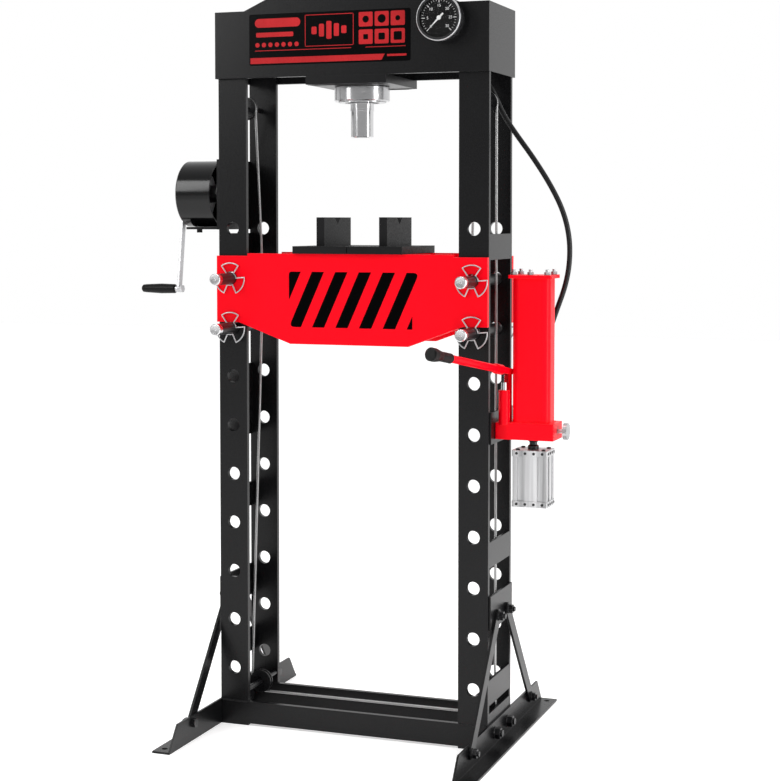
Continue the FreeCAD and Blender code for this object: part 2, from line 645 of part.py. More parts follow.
def make_ropes():
    r = float(d.pulley_rope_r)
    dia = float(d.rope_dia)
    centres = {name: vec(x, 0, z) for name, x, z in pulley_places()}
    anchor_top = float(d.bed_top - d.spacer_drop - 15)
    anchor_low = float(d.bed_top - d.spacer_drop - d.spacer_height + 15)
    top = float(d.pulley_top_z) + r
    low = float(d.pulley_low_z) - r
    drum = vec(-d.drum_x, 0, d.winch_z)
    left_top = vec(-d.anchor_x, 0, anchor_top)
    left_low = vec(-d.anchor_x, 0, anchor_low)
    right_top = vec(d.anchor_x, 0, anchor_top)
    over_left = centres["pulley_left_top"]
    under_left = centres["pulley_left_low"]
    over_right = centres["pulley_right_top"]
    lift = [drum, tangent_corner(drum, over_left, -1, top), tangent_corner(left_top, over_left, 1, top), left_top]
    far = float(d.pulley_right_x) + r
    link = [left_low, tangent_corner(left_low, under_left, -1, low), vec(far, 0, low), vec(far, 0, top),
            tangent_corner(right_top, over_right, -1, top), right_top]
    lift_rope = tube(lift, [r] * 2, dia, "lifting rope, winch side")
    link_rope = tube(link, [r] * 4, dia, "lifting rope, far side")
    feature("lift_ropes", Part.makeCompound([lift_rope, link_rope]))


# Winch -------------------------------------------------------------------------------------------
def winch_point(x):
    return vec(x, WINCH_Y, d.winch_z)


def crank_tip(x):
    tilt = math.radians(SIZES["crank_tilt"])
    reach = float(d.crank_reach)
    return winch_point(x) - vec(0, reach * math.sin(tilt), reach * math.cos(tilt))


def make_winch():
    plate_x = POST_OUT + d.winch_plate
    shelf_top = d.winch_z - COVER_R - 0.2
    boss_x = plate_x + 21
    back = block(-plate_x, -FACE_OUT, shelf_top - 6, -POST_OUT, FACE_OUT, d.winch_z + COVER_R)
    shelf = block(18 - d.cover_far, WINCH_Y - 55, shelf_top - 6, -POST_OUT, WINCH_Y + 55, shelf_top)
    screw_x = (d.cover_near + d.cover_far) / 2
    screw = rod(vec(-screw_x, WINCH_Y - 40, shelf_top - 14), vec(-screw_x, WINCH_Y - 40, shelf_top - 6), 14)
    boss = rod(winch_point(-boss_x), winch_point(-POST_OUT), 60)
    bore = rod(winch_point(-boss_x - 5), winch_point(-POST_OUT + 5), d.shaft_dia + 2 * d.fit)
    feature("winch_bracket", fused([back, shelf, screw, boss]).cut(bore))
    wall = d.cover_wall
    shaft_hole = d.shaft_dia / 2 + 1
    feature("winch_cover", turned(winch_point(0), -X_AXIS, Z_AXIS, [
        (d.cover_near, COVER_R - wall), (d.cover_near, COVER_R), (d.cover_far - 3, COVER_R),
        (d.cover_far, COVER_R - 3), (d.cover_far, shaft_hole), (d.cover_far - wall, shaft_hole),
        (d.cover_far - wall, COVER_R - wall)]))
    shaft_r = d.shaft_dia / 2
    core = d.drum_dia / 2
    flange = d.drum_flange / 2
    near = boss_x + 2
    far = near + 66
    feature("winch_drum", turned(winch_point(0), -X_AXIS, Z_AXIS, [
        (plate_x, 0), (plate_x, shaft_r), (near, shaft_r), (near, flange), (near + 4, flange), (near + 4, core),
        (far, core), (far, flange), (far + 4, flange), (far + 4, shaft_r), (CRANK_X + 10, shaft_r),
        (CRANK_X + 10, 0)]))


def make_crank():
    x = CRANK_X
    thick = d.crank_thick
    hub = winch_point(-x)
    tip = crank_tip(-x)
    outward = -X_AXIS * float(thick)
    along = (tip - hub).normalize()
    side = along.cross(X_AXIS) * float(d.crank_width / 2)
    face = Part.Face(Part.makePolygon([hub + side, tip + side, tip - side, hub - side, hub + side]))
    arm = face.extrude(outward)
    ends = [rod(hub, hub + outward, 34), rod(tip, tip + outward, d.crank_width)]
    cap = rod(hub + outward, hub - X_AXIS * float(thick + 10), 30)
    stud_end = tip - X_AXIS * float(thick + d.grip_gap + d.grip_length - 4)
    stud = rod(tip, stud_end, d.stud_dia)
    collar = rod(tip + outward, tip - X_AXIS * float(thick + d.grip_gap - d.seat_gap), 16)
    nut = hexagon(tip + X_AXIS * 8, -X_AXIS, 17, 8)
    solid = fused([arm] + ends + [cap, stud, collar, nut])
    bore = rod(hub + X_AXIS * 5, hub - X_AXIS * float(10 + d.fit), d.shaft_dia + 2 * d.fit)
    feature("crank_arm", solid.cut(bore))
    start = GRIP_START
    end = GRIP_END
    r = d.grip_dia / 2
    bore_r = d.stud_dia / 2 + d.fit
    origin = crank_tip(0)
    feature("crank_grip", turned(origin, -X_AXIS, Z_AXIS, [
        (start, bore_r), (start, r - 3), (start + 3, r - 1), (start + 40, r), (end - 12, r - 2), (end - 3, r - 3),
        (end, r - 6), (end, 0), (end - 3, 0), (end - 3, bore_r)]))


# Pump --------------------------------------------------------------------------------------------
def lever_direction():
    turn = math.radians(SIZES["lever_turn"])
    return vec(-math.sin(turn), -math.cos(turn), 0)


def lever_axis():
    return Z_AXIS.cross(lever_direction())


def lever_pivot():
    return vec(d.lever_pivot_x, d.lever_pivot_y, d.lever_pivot_z)


def plunger_foot(z):
    place_xy = lever_pivot() + lever_direction() * float(d.lever_throw)
    return vec(place_xy.x, place_xy.y, z)


def oriented_block(centre, along, across, length, width, height):
    """A box centred in plan on a point, with its base at the point's height."""
    corner = centre - along * (length / 2) - across * (width / 2)
    sides = [corner, corner + along * length, corner + along * length + across * width,
             corner + across * width, corner]
    return Part.Face(Part.makePolygon(sides)).extrude(Z_AXIS * height)


def make_pump_body():
    half = float(d.pump_base_depth) / 2
    base = block(FOOT_OUT, d.pump_y - half, d.pump_base_z, PUMP_OUT, d.pump_y + half, PUMP_TOP)
    base = base.makeFillet(3, [e for e in base.Edges if e.BoundBox.ZLength > 10])
    along = lever_direction()
    across = lever_axis()
    pivot = lever_pivot()
    link_foot = vec(pivot.x, pivot.y, PUMP_TOP)
    link = oriented_block(link_foot, along, across, 14, 8, pivot.z - link_foot.z)
    link_end = rod(pivot - across * 4, pivot + across * 4, 14)
    link_hole = rod(pivot - across * 10, pivot + across * 10, 8 + 2 * SIZES["fit"])
    barrel_top = plunger_foot(PUMP_TOP + d.pump_barrel_height)
    barrel = rod(plunger_foot(PUMP_TOP - 5), barrel_top, d.pump_barrel_dia)
    bore_low = plunger_foot(PUMP_TOP - d.plunger_depth - d.lever_throw)
    plunger_bore = rod(bore_low, barrel_top + Z_AXIS, d.plunger_dia + 2 * d.fit)
    valve = vec(PUMP_OUT - 20, d.pump_y, (d.pump_base_z + PUMP_TOP) / 2)
    valve_bore = rod(valve, valve + X_AXIS * 30, d.stem_dia + 2 * d.fit)
    body = fused([base, link, link_end, barrel]).cut([link_hole, plunger_bore, valve_bore])
    feature("pump_base", body)
    stem_end = vec(PUMP_OUT + d.knob_stem, valve.y, valve.z)
    knob_r = float(d.knob_dia) / 2
    stem = rod(valve + X_AXIS * 1, stem_end, d.stem_dia)
    knob = rod(stem_end, stem_end + X_AXIS * float(d.knob_thick), d.knob_dia)
    flutes = []
    for i in range(12):
        turn = math.radians(30 * i)
        at = stem_end + vec(-1, knob_r * math.cos(turn), knob_r * math.sin(turn))
        flutes.append(rod(at, at + X_AXIS * float(d.knob_thick + 2), 4))
    feature("release_knob", fused([stem, knob]).cut(flutes))


def make_tank():
    x, y = d.tank_x, d.pump_y
    half_w, half_d = d.tank_width / 2, d.tank_depth / 2
    shell = block(x - half_w, y - half_d, PUMP_TOP, x + half_w, y + half_d, TANK_TOP)
    shell = shell.makeFillet(float(d.tank_round), [e for e in shell.Edges if e.BoundBox.ZLength > 50])
    wall = 5
    hollow = block(x - half_w + wall, y - half_d + wall, PUMP_TOP + 1, x + half_w - wall,
                   y + half_d - wall, TANK_TOP - 1)
    hollow = hollow.makeFillet(float(d.tank_round) - wall, [e for e in hollow.Edges if e.BoundBox.ZLength > 50])
    feature("pump_tank", shell.cut(hollow))
    cap_w, cap_d = d.cap_width / 2, d.cap_depth / 2
    cap_top = TANK_TOP + d.cap_thick
    cap = block(x - cap_w, y - cap_d, TANK_TOP, x + cap_w, y + cap_d, cap_top)
    cap = cap.makeFillet(6, [e for e in cap.Edges if abs(e.BoundBox.ZLength - SIZES["cap_thick"]) < 0.01])
    feature("pump_cap", cap)
    nuts = []
    for u, v in ((-1, -1), (1, -1), (-1, 1), (1, 1), (0, -1)):
        at = vec(x + u * (cap_w - 12), y + v * (cap_d - 12), cap_top)
        nut = hexagon(at, Z_AXIS, float(d.cap_nut), 7)
        nuts.append(fused([nut, rod(at, at + Z_AXIS * 13, 8)]))
    feature("cap_nuts", Part.makeCompound(nuts))


def make_motor():
    x, y = d.tank_x, d.pump_y
    top = d.pump_base_z - 25
    low = top - d.motor_height
    half_w, half_d = d.motor_width / 2, d.motor_depth / 2
    feature("motor_link", turned(vec(x, y, 0), Z_AXIS, X_AXIS, [
        (top, 0), (top, d.link_dia / 2), (top + 8, d.link_dia / 2), (top + 11, d.link_dia / 2 - 4),
        (top + 17, d.link_dia / 2 - 4), (top + 20, d.link_dia / 2), (d.pump_base_z, d.link_dia / 2),
        (d.pump_base_z, 0)]))
    caps = []
    for z in (low, top - d.motor_cap):
        cap = block(x - half_w, y - half_d, z, x + half_w, y + half_d, z + d.motor_cap)
        caps.append(cap.makeFillet(4, [e for e in cap.Edges if abs(e.BoundBox.ZLength - 14) < 0.01]))
    body = block(x - half_w + 2, y - half_d + 2, low + d.motor_cap, x + half_w - 2, y + half_d - 2, top - d.motor_cap)
    grooves = []
    for sign in (-1, 1):
        for offset in (-24, 24):
            groove_y = y + sign * (half_d - 2)
            grooves.append(block(x + offset - 5, groove_y - 3, low, x + offset + 5, groove_y + 3, top))
        for offset in (-16, 16):
            groove_x = x + sign * (half_w - 2)
            grooves.append(block(groove_x - 3, y + offset - 5, low, groove_x + 3, y + offset + 5, top))
    feature("air_motor", fused(caps + [body.cut(grooves)]))


def make_lever():
    along = lever_direction()
    across = lever_axis()
    pivot = lever_pivot()
    throw = float(d.lever_throw)
    rise = math.radians(SIZES["lever_rise"])
    slope = along * math.cos(rise) + Z_AXIS * math.sin(rise)
    cheeks = []
    for sign in (-1, 1):
        inner = across * (sign * 4.5)
        thick = across * (sign * 4)
        start = pivot + inner
        length = throw + 22
        up = slope.cross(across) * -1
        up = up if up.z > 0 else up * -1
        half = up * 7
        bar = Part.Face(Part.makePolygon([start - half, start + slope * length - half, start + slope * length + half,
                                          start + half, start - half])).extrude(thick)
        cheeks.append(fused([bar, rod(start, start + thick, 14)]))
    socket_start = pivot + slope * (throw + 15)
    socket = rod(socket_start, socket_start + slope * 26, float(d.lever_dia) + 6)
    handle = rod(socket_start, pivot + slope * (float(d.lever_length) - 8), d.lever_dia)
    fulcrum = rod(pivot - across * 8.5, pivot + across * 8.5, 8)
    drive = pivot + along * throw
    drive_pin = rod(drive - across * 8.5, drive + across * 8.5, 7)
    feature("pump_lever", fused(cheeks + [socket, handle, fulcrum, drive_pin]))
    grip_start = float(d.lever_length - d.lever_grip_length)
    length = float(d.lever_grip_length)
    r = float(d.lever_grip_dia) / 2
    bore = float(d.lever_dia) / 2 + SIZES["fit"]
    origin = pivot + slope * grip_start
    feature("lever_grip", turned(origin, slope, across, [
        (0, bore), (0, r - 5), (2, r - 4), (length * 0.5, r - 4), (length - 18, r), (length - 3, r),
        (length, r - 3), (length, 0), (length - 8 + SIZES["fit"], 0), (length - 8 + SIZES["fit"], bore)]))
    tongue_low = pivot.z - 24
    foot = plunger_foot(PUMP_TOP - d.plunger_depth)
    stem = rod(foot, plunger_foot(tongue_low), d.plunger_dia)
    tongue = oriented_block(plunger_foot(tongue_low) - along * 1.5, along, across, 17, 8, 24 + 9)
    window = oriented_block(plunger_foot(pivot.z - 5.5) - along * 1.5, along, across, 11, 20, 10.5)
    feature("pump_plunger", fused([stem, tongue]).cut(window))


# Gauge -------------------------------------------------------------------------------------------
def make_gauge():
    face = FACE_OUT + d.head_plate
    centre = vec(d.gauge_x, -face, d.gauge_z)
    r = d.gauge_dia / 2
    wall = d.gauge_wall
    depth = d.gauge_depth
    bezel_r = d.bezel_dia / 2
    bezel = depth - d.bezel_depth
    feature("gauge_case", turned(centre, -Y_AXIS, Z_AXIS, [
        (0, 0), (0, r), (bezel, r), (bezel, bezel_r - 1), (bezel + 2, bezel_r), (depth - 2, bezel_r),
        (depth, bezel_r - 2), (depth, r - 4), (depth - 2, r - 4), (depth - 2, r - wall), (wall, r - wall),
        (wall, 0)]))
    spindle_r = 2
    spindle_bore = spindle_r + 0.3
    dial = turned(centre, -Y_AXIS, Z_AXIS, [
        (wall, 0), (wall, 20), (depth - 8, 20), (depth - 8, r - wall - 0.2), (depth - 7, r - wall - 0.2),
        (depth - 7, spindle_bore), (depth - 20, spindle_bore), (depth - 20, 0)])
    feature("gauge_dial", dial)
    glass_r = r - wall - 0.2
    feature("gauge_glass", turned(centre, -Y_AXIS, Z_AXIS, [
        (depth - 4, 0), (depth - 4, glass_r), (depth - 2.1, glass_r), (depth - 2.1, 0)]))
    hub = centre - Y_AXIS * float(depth - 6.7)
    turn = math.radians(225)
    tip_way = vec(math.cos(turn), 0, math.sin(turn))
    side = vec(-tip_way.z, 0, tip_way.x)
    outline = [hub + tip_way * 38, hub + side * 2.2, hub - tip_way * 14 + side * 2, hub - tip_way * 14 - side * 2,
               hub - side * 2.2]
    blade = Part.Face(Part.makePolygon(outline + [outline[0]])).extrude(-Y_AXIS * 0.8)
    boss = rod(hub, hub - Y_AXIS * 1.6, 10)
    spindle = rod(hub + Y_AXIS * 12, hub, 2 * spindle_r)
    feature("gauge_needle", fused([blade, boss, spindle]))


# Hose and its fittings ---------------------------------------------------------------------------
HOSE_ROUTE = [
    (80, 0, 1650), (140, 4, 1653), (200, 14, 1645), (256, 27, 1617), (296, 34, 1578), (316, 36, 1542),
    (338, 37, 1492), (366, 39, 1450), (412, 42, 1388), (454, 46, 1322), (483, 50, 1262), (497, 53, 1202),
    (497, 56, 1142), (486, 58, 1086), (466, 59, 1032), (446, 58, 975), (435, 52, 915), (432, 43, 856),
    (432, 37, 797),
]


def make_hose():
    points = [vec(*p) for p in HOSE_ROUTE]
    radii = []
    for i in range(1, len(points) - 1):
        into = points[i] - points[i - 1]
        out = points[i + 1] - points[i]
        turn = into.getAngle(out)
        radii.append(0.45 * min(into.Length, out.Length) / math.tan(turn / 2))
    print("hose radii: " + ", ".join("%.0f" % r for r in radii))
    feature("hose", tube(points, radii, float(d.hose_dia), "hose"))
    start = points[0]
    port = rod(vec(40, start.y, start.z), start, d.fitting_dia)
    barrel = rod(vec(d.ram_offset, 0, start.z - 30), vec(d.ram_offset, 0, start.z + 30), d.barrel_dia)
    hexes = hexagon(start - X_AXIS * 16, X_AXIS, 22, 9)
    top_fitting = fused([port, hexes]).cut(barrel)
    end = points[-1]
    rear = float(d.pump_y + d.pump_base_depth / 2)
    elbow = block(end.x - 11, rear, end.z - 52, end.x + 11, end.y + 11, end.z - 26)
    nipple = rod(vec(end.x, end.y, end.z - 30), end, d.fitting_dia)
    low_hex = hexagon(end - Z_AXIS * 18, Z_AXIS, 22, 9)
    feature("hose_fittings", Part.makeCompound([top_fitting, fused([elbow, nipple, low_hex])]))


def build():
    make_posts()
    make_battens()
    make_beams()
    make_feet()
    make_head()
    make_cylinder()
    make_bed()
    make_arbor_blocks()
    make_pins()
    make_pulleys()
    make_ropes()
    make_winch()
    make_crank()
    make_pump_body()
    make_tank()
    make_motor()
    make_lever()
    make_gauge()
    make_hose()
    doc.recompute()


def check_and_write():
    for obj in doc.Objects:
        if "Invalid" in obj.State or "Error" in obj.State:
            raise RuntimeError("failed: " + obj.Label)
    for part in PARTS:
        if part.Shape.isNull() or not part.Shape.isValid() or not part.Shape.Solids:
            raise RuntimeError("bad shape: " + part.Label)
    os.makedirs("parts", exist_ok=True)
    for part in PARTS:
        part.Shape.exportStep("parts/%s.step" % part.Label)
    print("%d sub-parts written" % len(PARTS))


build()
check_and_write()
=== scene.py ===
"""The looks of the hydraulic workshop press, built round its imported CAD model."""

import json
import math

import bmesh
import bpy
from mathutils import Matrix, Vector


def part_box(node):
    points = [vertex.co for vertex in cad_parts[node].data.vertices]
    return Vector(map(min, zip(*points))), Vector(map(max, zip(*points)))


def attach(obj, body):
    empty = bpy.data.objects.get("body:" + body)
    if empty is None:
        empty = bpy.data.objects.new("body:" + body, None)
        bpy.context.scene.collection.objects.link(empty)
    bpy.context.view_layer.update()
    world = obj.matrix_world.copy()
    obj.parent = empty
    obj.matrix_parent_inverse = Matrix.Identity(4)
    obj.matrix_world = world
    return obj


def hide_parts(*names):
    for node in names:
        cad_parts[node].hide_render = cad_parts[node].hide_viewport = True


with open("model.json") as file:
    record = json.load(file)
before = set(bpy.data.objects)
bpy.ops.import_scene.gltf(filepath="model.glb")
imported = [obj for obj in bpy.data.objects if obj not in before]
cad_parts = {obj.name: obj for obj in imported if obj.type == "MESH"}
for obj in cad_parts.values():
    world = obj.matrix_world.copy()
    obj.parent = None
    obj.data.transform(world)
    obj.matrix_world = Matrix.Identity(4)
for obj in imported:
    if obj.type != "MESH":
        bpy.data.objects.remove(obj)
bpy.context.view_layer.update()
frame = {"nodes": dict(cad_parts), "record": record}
NODES = frame["nodes"]
SLOTS = {row["node"]: row["material_slot"] for row in frame["record"]["subparts"]}

MM = 0.001
CENTRE_X = 43.25
SILVER = (0.62, 0.62, 0.63)
WHITE = (0.85, 0.85, 0.85)


def point(x, y, z):
    """A place in the press's own frame, in millimetres, as a point of the scene."""
    return Vector(((x + CENTRE_X) * MM, y * MM, z * MM))


# Camera ------------------------------------------------------------------------------------------

IMAGE_LONG_SIDE = 781
FOCAL = 1725.3
SHIFT = -0.11
YAW = 20.04
PITCH = 2.78
SENSOR = 36.0
CAMERA_PLACE = (1493.7, -3915.1, 1240.6)


def make_camera():
    data = bpy.data.cameras.new("camera")
    data.sensor_width = SENSOR
    data.lens = SENSOR * FOCAL / IMAGE_LONG_SIDE
    data.shift_y = SHIFT
    camera = bpy.data.objects.new("camera", data)
    camera.location = point(*CAMERA_PLACE)
    camera.rotation_euler = (math.radians(90 - PITCH), 0, math.radians(YAW))
    bpy.context.scene.collection.objects.link(camera)
    bpy.context.scene.camera = camera


# Materials ---------------------------------------------------------------------------------------

MATERIALS = {}
EVEN = (1, 1, 1)
NOISE_DETAIL = 4.0
MOTTLE_SCALE = 9.0
WEAR_SCALE = 45.0
SMEAR_SCALE = 20.0
EDGE_START = 0.80
EDGE_END = 0.97
WAVE_LENGTH = 0.314
RIDGE_DEPTH = 0.0006
GLASS_ALPHA = 0.06
FLOOR_GLOW = 0.4


def add_node(tree, kind, **settings):
    node = tree.nodes.new(kind)
    for name, value in settings.items():
        setattr(node, name, value)
    return node


def grain_noise(tree, scale, stretch=EVEN):
    """Noise in the piece's own space, drawn out along the directions where stretch is small."""
    place = add_node(tree, "ShaderNodeTexCoord")
    mapping = add_node(tree, "ShaderNodeMapping")
    mapping.inputs["Scale"].default_value = stretch
    noise = add_node(tree, "ShaderNodeTexNoise")
    noise.inputs["Scale"].default_value = scale
    noise.inputs["Detail"].default_value = NOISE_DETAIL
    tree.links.new(place.outputs["Object"], mapping.inputs["Vector"])
    tree.links.new(mapping.outputs["Vector"], noise.inputs["Vector"])
    return noise.outputs["Fac"]


def remap(tree, source, low, high, start=0.3, end=0.7):
    node = add_node(tree, "ShaderNodeMapRange")
    node.inputs["From Min"].default_value = start
    node.inputs["From Max"].default_value = end
    node.inputs["To Min"].default_value = low
    node.inputs["To Max"].default_value = high
    tree.links.new(source, node.inputs["Value"])
    return node.outputs["Result"]


def mixed_colour(tree, factor, first, second):
    node = add_node(tree, "ShaderNodeMix", data_type="RGBA")
    for socket, value in ((node.inputs[6], first), (node.inputs[7], second)):
        if isinstance(value, tuple):
            socket.default_value = (*value, 1.0)
        else:
            tree.links.new(value, socket)
    tree.links.new(factor, node.inputs[0])
    return node.outputs[2]


def rounded_normal(tree, radius):
    bevel = add_node(tree, "ShaderNodeBevel", samples=4)
    bevel.inputs["Radius"].default_value = radius
    return bevel.outputs["Normal"]


def edge_mask(tree, rounded):
    """About 1 along sharp edges and 0 on flats, from how far the rounded normal turns."""
    geometry = add_node(tree, "ShaderNodeNewGeometry")
    dot = add_node(tree, "ShaderNodeVectorMath", operation="DOT_PRODUCT")
    tree.links.new(rounded, dot.inputs[0])
    tree.links.new(geometry.outputs["True Normal"], dot.inputs[1])
    return remap(tree, dot.outputs["Value"], 1.0, 0.0, start=EDGE_START, end=EDGE_END)


def surface(name, colour, darker=0.8, metallic=0.0, rough=(0.3, 0.45), grain=60.0, stretch=EVEN,
            bump=0.1, depth=0.0002, edge=0.0008, edge_wear_and_highlight=None, specular=0.5, sheen_band_stretch=EVEN):
    """A solid material: mottled colour, uneven gloss, a fine grain and rounded edges; a stretched mottle
    paints reflection bands, and if asked a lighter edge colour is partly wear and partly a painted
    highlight.
    """
    material = bpy.data.materials.new(name)
    material.use_nodes = True
    tree = material.node_tree
    shader = tree.nodes["Principled BSDF"]
    shader.inputs["Metallic"].default_value = metallic
    shader.inputs["Specular IOR Level"].default_value = specular
    # Stretching the mottle gives light and dark bands of painted reflection, as on the air motor.
    mottle = grain_noise(tree, MOTTLE_SCALE, sheen_band_stretch)
    fine = grain_noise(tree, grain, stretch)
    shade = tuple(c * darker for c in colour)
    paint = mixed_colour(tree, remap(tree, mottle, 0.0, 1.0), shade, colour)
    rounded = rounded_normal(tree, edge)
    # Lighter colour along sharp edges, broken up by noise: partly edge wear, partly a painted highlight
    # on the edges.
    if edge_wear_and_highlight:
        edge_wear_and_highlight_mask = add_node(tree, "ShaderNodeMath", operation="MULTIPLY")
        tree.links.new(edge_mask(tree, rounded), edge_wear_and_highlight_mask.inputs[0])
        tree.links.new(remap(tree, grain_noise(tree, WEAR_SCALE), 0.1, 0.8), edge_wear_and_highlight_mask.inputs[1])
        paint = mixed_colour(tree, edge_wear_and_highlight_mask.outputs["Value"], paint, edge_wear_and_highlight)
    tree.links.new(paint, shader.inputs["Base Color"])
    tree.links.new(remap(tree, fine, *rough), shader.inputs["Roughness"])
    relief = add_node(tree, "ShaderNodeBump")
    relief.inputs["Strength"].default_value = bump
    relief.inputs["Distance"].default_value = depth
    tree.links.new(fine, relief.inputs["Height"])
    tree.links.new(rounded, relief.inputs["Normal"])
    tree.links.new(relief.outputs["Normal"], shader.inputs["Normal"])
    MATERIALS[name] = material
    return material


def striped_relief(material, direction, pitch, strength):
    """Adds ridges of one pitch along a direction, such as rope strands or a hose's cover."""
    tree = material.node_tree
    shader = tree.nodes["Principled BSDF"]
    place = add_node(tree, "ShaderNodeTexCoord")
    mapping = add_node(tree, "ShaderNodeMapping")
    mapping.inputs["Rotation"].default_value = direction
    wave = add_node(tree, "ShaderNodeTexWave", wave_profile="SIN")
    wave.inputs["Scale"].default_value = WAVE_LENGTH / pitch
    relief = add_node(tree, "ShaderNodeBump")
    relief.inputs["Strength"].default_value = strength
    relief.inputs["Distance"].default_value = RIDGE_DEPTH
    tree.links.new(place.outputs["Object"], mapping.inputs["Vector"])
    tree.links.new(mapping.outputs["Vector"], wave.inputs["Vector"])
    tree.links.new(wave.outputs["Fac"], relief.inputs["Height"])
    old = shader.inputs["Normal"].links[0].from_socket
    tree.links.new(old, relief.inputs["Normal"])
    tree.links.new(relief.outputs["Normal"], shader.inputs["Normal"])


def glass(name):
    material = bpy.data.materials.new(name)
    material.use_nodes = True
    tree = material.node_tree
    shader = tree.nodes["Principled BSDF"]
    shader.inputs["Base Color"].default_value = (0.02, 0.02, 0.02, 1.0)
    shader.inputs["Alpha"].default_value = GLASS_ALPHA
    smear = grain_noise(tree, SMEAR_SCALE)
    tree.links.new(remap(tree, smear, 0.02, 0.05), shader.inputs["Roughness"])
    MATERIALS[name] = material


def make_materials():
    # The lighter edge colours given below are partly wear and partly painted highlights.
    surface("frame_paint", (0.0045, 0.0045, 0.005), rough=(0.24, 0.34), grain=900.0, bump=0.12,
            depth=0.0001, edge=0.0012, edge_wear_and_highlight=(0.03, 0.03, 0.032), specular=0.22)
    surface("cover_paint", (0.003, 0.003, 0.0033), rough=(0.12, 0.2), grain=500.0, bump=0.05,
            depth=0.0001, edge=0.0025, specular=0.3)
    surface("red_paint", (0.96, 0.0003, 0.010), darker=0.93, rough=(0.26, 0.36), grain=700.0, bump=0.1,
            depth=0.0001, edge=0.0012, edge_wear_and_highlight=(0.96, 0.10, 0.10), specular=0.09)
    surface("turned_steel", SILVER, metallic=1.0, rough=(0.16, 0.24), grain=3.0,
            stretch=(20, 20, 500), bump=0.05, edge=0.0006)
    surface("bright_steel", (0.72, 0.72, 0.73), metallic=1.0, rough=(0.14, 0.3), grain=120.0, bump=0.1,
            edge=0.0005)
    surface("stripe_ink", (0.0006, 0.0006, 0.0006), rough=(0.4, 0.5), grain=400.0, bump=0.06,
            edge=0.0001, specular=0.02)
    surface("ram_chrome", (0.74, 0.74, 0.75), metallic=1.0, darker=0.9, rough=(0.10, 0.18), grain=3.0,
            stretch=(12, 12, 420), bump=0.04, edge=0.0008)
    surface("pin_steel", (0.012, 0.012, 0.013), darker=0.6, rough=(0.26, 0.42), grain=3.0,
            stretch=(20, 500, 20), bump=0.15, edge=0.0010, specular=0.5)
    surface("zinc_steel", (0.55, 0.55, 0.56), metallic=1.0, rough=(0.28, 0.45), grain=160.0, bump=0.12,
            edge=0.0007)
    surface("black_zinc", (0.006, 0.006, 0.007), rough=(0.24, 0.4), grain=200.0, bump=0.15,
            edge=0.0008, edge_wear_and_highlight=(0.12, 0.12, 0.12), specular=0.4)
    surface("block_steel", (0.006, 0.006, 0.0066), darker=0.6, rough=(0.38, 0.6), grain=260.0, bump=0.3,
            edge=0.0010, edge_wear_and_highlight=(0.03, 0.03, 0.032), specular=0.16)
    surface("pulley_steel", (0.35, 0.35, 0.36), metallic=1.0, rough=(0.3, 0.5), grain=120.0, bump=0.2,
            edge=0.0008)
    surface("grip_plastic", (0.003, 0.003, 0.003), rough=(0.32, 0.44), grain=420.0, bump=0.25,
            edge=0.0012, specular=0.16)
    # Vertical light and dark bands painted as reflections on the motor body, down to 0.42 of its colour.
    surface("motor_aluminium", (0.74, 0.74, 0.75), metallic=0.9, darker=0.42, sheen_band_stretch=(7, 7, 0.15),
            rough=(0.3, 0.44), grain=4.0, stretch=(300, 300, 12), bump=0.12, edge=0.0008)
    surface("gauge_steel", (0.016, 0.016, 0.017), rough=(0.16, 0.26), grain=150.0, bump=0.06, edge=0.0010)
    surface("dial_face", (0.003, 0.003, 0.0033), rough=(0.5, 0.65), grain=300.0, bump=0.1, edge=0.0003,
            specular=0.15)
    surface("dial_print", WHITE, darker=0.93, rough=(0.5, 0.6), grain=300.0, bump=0.05, edge=0.0001)
    surface("needle_paint", WHITE, darker=0.95, rough=(0.35, 0.45), grain=300.0, bump=0.05, edge=0.0002)
    surface("panel_film", (0.0012, 0.0012, 0.0014), rough=(0.2, 0.28), grain=240.0, bump=0.04,
            edge=0.0003, specular=0.06)
    surface("panel_red", (0.50, 0.022, 0.026), darker=0.72, rough=(0.24, 0.34), grain=240.0, bump=0.04,
            edge=0.0002, specular=0.08)
    rope = surface("wire_rope", (0.42, 0.42, 0.42), metallic=1.0, rough=(0.35, 0.5), grain=300.0,
                   bump=0.2, edge=0.0003)
    striped_relief(rope, (0, math.radians(55), 0), 0.0035, 1.0)
    hose = surface("hose_rubber", (0.004, 0.004, 0.0045), rough=(0.3, 0.42), grain=500.0, bump=0.2,
                   edge=0.0003, specular=0.3)
    striped_relief(hose, (0, math.radians(90), 0), 0.0025, 0.12)
    glass("gauge_glass")
    card = surface("floor_card", (0.95, 0.95, 0.95), darker=0.985, rough=(0.6, 0.7), grain=5.0, bump=0.02,
                   specular=0.1)
    glow = card.node_tree.nodes["Principled BSDF"]
    glow.inputs["Emission Color"].default_value = (1.0, 1.0, 1.0, 1.0)
    glow.inputs["Emission Strength"].default_value = FLOOR_GLOW


OWN_LOOK = {"winch_cover": "cover_paint", "motor_link": "black_zinc", "frame_bolts": "black_zinc",
            "pulley_axles": "black_zinc"}


def dress_nodes():
    for name, node in NODES.items():
        look = OWN_LOOK.get(name, SLOTS[name])
        if name.startswith("pin_"):
            look = "pin_steel"
        if name.startswith("pulley_"):
            look = "black_zinc"
        node.data.materials.clear()
        node.data.materials.append(MATERIALS[look])


# Pieces ------------------------------------------------------------------------------------------

def new_piece(name, mesh, look, body="frame"):
    obj = bpy.data.objects.new(name, mesh)
    bpy.context.scene.collection.objects.link(obj)
    mesh.materials.clear()
    mesh.materials.append(MATERIALS[look])
    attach(obj, body)
    return obj


def finish_mesh(name, bm, smooth=False):
    bmesh.ops.recalc_face_normals(bm, faces=bm.faces)
    mesh = bpy.data.meshes.new(name)
    bm.to_mesh(mesh)
    bm.free()
    for face in mesh.polygons:
        face.use_smooth = smooth
    return mesh


